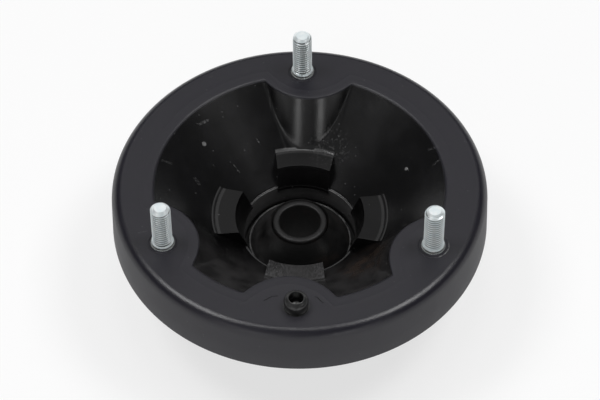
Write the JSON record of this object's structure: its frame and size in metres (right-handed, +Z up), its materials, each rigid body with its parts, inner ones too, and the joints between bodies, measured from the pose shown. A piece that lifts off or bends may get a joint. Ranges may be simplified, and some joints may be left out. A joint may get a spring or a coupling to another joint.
{
  "type": "strut mount",
  "caption": "Round suspension strut mount: a moulded dish with studs and a locating pin on its rim, carrying a damper rod's sleeve in a rubber-sprung ball bearing.",
  "frame": {"origin": "centre of the stud circle, on the rim's flat top face", "axes": "+Z up along the studs and the bearing axis, +Y towards the rear stud, the locating pin at -Y"},
  "size_m": [0.151, 0.151, 0.0784],
  "materials": {
    "moulded_rubber": "satin rim, glossy bowl, scuffed and dusty",
    "soft_rubber": "matte",
    "black_steel": "black coating, semi-gloss",
    "zinc": "bright zinc plating with a bluish tint",
    "bearing_steel": "ground and polished",
    "cage_brass": "turned",
    "spring_steel": "phosphated",
    "worn_steel": "dark steel worn bright at the edges"
  },
  "bodies": {
    "mount": {"dish": "moulded_rubber", "stud_plate": "black_steel", "stud_rear": "zinc", "stud_left": "zinc", "stud_right": "zinc", "locating_pin": "black_steel", "bearing_hub": "black_steel", "isolator_ring": "soft_rubber", "bearing_outer_ring": "bearing_steel", "upper_seal": "soft_rubber", "lower_seal": "soft_rubber", "retaining_ring": "spring_steel"},
    "rotor": {"rod_sleeve": "worn_steel", "bearing_inner_ring": "bearing_steel", "lower_collar": "worn_steel"},
    "ball_set": {"bearing_balls": "bearing_steel", "ball_cage": "cage_brass"}
  },
  "joints": [
    {"name": "rotor_spin", "type": "hinge", "parent": "mount", "child": "rotor", "pos_m": [0, 0, -0.044], "axis": [0, 0, 1], "continuous": true},
    {"name": "ball_set_spin", "type": "hinge", "parent": "mount", "child": "ball_set", "pos_m": [0, 0, -0.044], "axis": [0, 0, 1], "continuous": true}
  ],
  "couplings": [
    {"joint": "ball_set_spin", "follows": "rotor_spin", "ratio": 0.405}
  ]
}
